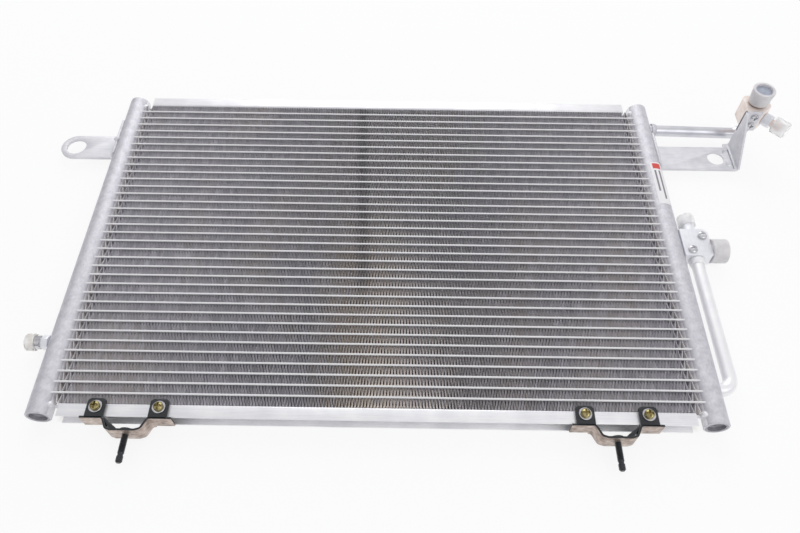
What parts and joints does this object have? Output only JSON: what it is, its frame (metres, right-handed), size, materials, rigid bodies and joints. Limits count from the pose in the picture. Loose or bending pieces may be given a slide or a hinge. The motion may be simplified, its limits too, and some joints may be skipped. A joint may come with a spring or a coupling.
{
  "type": "finned condenser coil",
  "caption": "Flat-tube condenser coil with corrugated fins between two round headers, side plates, pipe fittings with caps, a mounting ear, a folded bracket and two stud feet.",
  "frame": {"origin": "centre of the bounding box, on the surface that the coil lies on", "axes": "+X along the flat tubes towards the inlet and outlet, +Y along the headers away from the feet, +Z out of the front face"},
  "size_m": [0.796, 0.4268, 0.0748],
  "materials": {
    "core": "dull",
    "aluminium": "satin",
    "plate": "satin",
    "cap": "translucent",
    "black": "gloss",
    "zinc": "plated",
    "steel": "bright",
    "label": "matte"
  },
  "bodies": {
    "root": {"core_course_01": "core", "core_course_02": "core", "core_course_03": "core", "core_course_04": "core", "core_course_05": "core", "core_course_06": "core", "core_course_07": "core", "core_course_08": "core", "core_course_09": "core", "core_course_10": "core", "core_course_11": "core", "core_course_12": "core", "left_header": "aluminium", "right_header": "aluminium", "left_header_upper_cup": "aluminium", "left_header_lower_cup": "aluminium", "right_header_upper_cup": "aluminium", "right_header_lower_cup": "aluminium", "right_header_inlet_baffle": "aluminium", "right_header_outlet_baffle": "aluminium", "left_header_baffle": "aluminium", "inlet_pipe": "aluminium", "inlet_pipe_bead": "aluminium", "outlet_pipe": "aluminium", "outlet_pipe_collar": "aluminium", "upper_side_plate": "plate", "lower_side_plate": "plate", "left_mounting_ear": "plate", "inlet_bracket": "plate", "inlet_fitting": "plate", "outlet_block": "plate", "service_valve": "plate", "outlet_sensor_neck": "plate", "pressure_port": "plate", "inlet_port_cap": "cap", "service_valve_cap": "cap", "outlet_port_cap": "cap", "outlet_sensor_cap": "cap", "pressure_port_cap": "cap", "left_foot_bracket": "black", "right_foot_bracket": "black", "left_foot_stud": "black", "right_foot_stud": "black", "left_foot_left_screw": "zinc", "left_foot_right_screw": "zinc", "right_foot_left_screw": "zinc", "right_foot_right_screw": "zinc", "left_foot_left_washer": "steel", "left_foot_right_washer": "steel", "right_foot_left_washer": "steel", "right_foot_right_washer": "steel", "inlet_bracket_lower_screw": "steel", "inlet_bracket_upper_screw": "steel", "outlet_block_rear_screw": "steel", "outlet_block_front_screw": "steel", "outlet_block_pin": "steel", "header_label": "label"}
  },
  "joints": []
}
